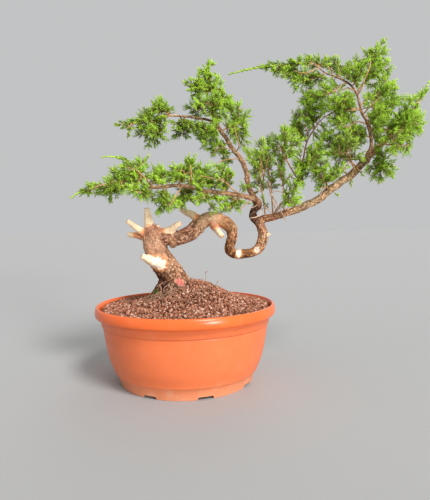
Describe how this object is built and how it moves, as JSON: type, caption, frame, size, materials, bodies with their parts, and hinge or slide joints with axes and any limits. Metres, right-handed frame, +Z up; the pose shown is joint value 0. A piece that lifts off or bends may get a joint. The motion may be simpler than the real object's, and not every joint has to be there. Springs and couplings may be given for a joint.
{
  "type": "bonsai tree",
  "caption": "Itoigawa juniper bonsai with a winding trunk, stripped stubs of dead wood and sprays of scale leaf, in a round plastic training pot full of grit.",
  "frame": {"origin": "middle of the whole plant's footprint box, on the plane that the pot's foot stands on", "axes": "+X towards the tips of the right-hand branch, along the plant's length; +Y away from the viewer; +Z up"},
  "size_m": [0.5026, 0.24, 0.4519],
  "materials": {
    "pot_plastic": "satin terracotta orange",
    "soil_grit": "rough grit, reddish brown with pink and grey grains",
    "bark": "flaky reddish-brown bark, with pale bare dead wood at the stubs",
    "foliage": "matt yellow-green scale leaf"
  },
  "bodies": {
    "root": {"pot": "pot_plastic", "soil": "soil_grit", "trunk_and_branches": "bark", "spray_back_arm_01": "foliage", "spray_leader_01": "foliage", "spray_leader_02": "foliage", "spray_leader_03": "foliage", "spray_leader_04": "foliage", "spray_leader_05": "foliage", "spray_leader_06": "foliage", "spray_leader_07": "foliage", "spray_leader_08": "foliage", "spray_leader_09": "foliage", "spray_leader_10": "foliage", "spray_leader_11": "foliage", "spray_leader_12": "foliage", "spray_leader_13": "foliage", "spray_low_left_01": "foliage", "spray_low_left_02": "foliage", "spray_low_left_03": "foliage", "spray_low_left_04": "foliage", "spray_low_left_05": "foliage", "spray_low_left_06": "foliage", "spray_low_left_07": "foliage", "spray_low_left_08": "foliage", "spray_low_left_09": "foliage", "spray_low_left_10": "foliage", "spray_low_left_11": "foliage", "spray_low_left_12": "foliage", "spray_low_left_13": "foliage", "spray_low_left_14": "foliage", "spray_middle_01": "foliage", "spray_middle_02": "foliage", "spray_middle_03": "foliage", "spray_middle_04": "foliage", "spray_middle_05": "foliage", "spray_right_01": "foliage", "spray_right_02": "foliage", "spray_right_03": "foliage", "spray_right_04": "foliage", "spray_right_05": "foliage", "spray_right_06": "foliage", "spray_right_arm_01": "foliage", "spray_right_arm_02": "foliage", "spray_right_arm_03": "foliage", "spray_right_arm_04": "foliage", "spray_side_left_01": "foliage", "spray_side_left_02": "foliage", "spray_side_left_03": "foliage", "spray_side_left_04": "foliage", "spray_side_left_05": "foliage", "spray_upper_left_01": "foliage", "spray_upper_left_02": "foliage", "spray_upper_left_03": "foliage", "spray_upper_left_04": "foliage", "spray_upper_left_05": "foliage", "spray_upper_left_06": "foliage", "spray_upper_left_07": "foliage", "spray_upper_left_08": "foliage", "spray_upper_left_09": "foliage"}
  },
  "joints": []
}
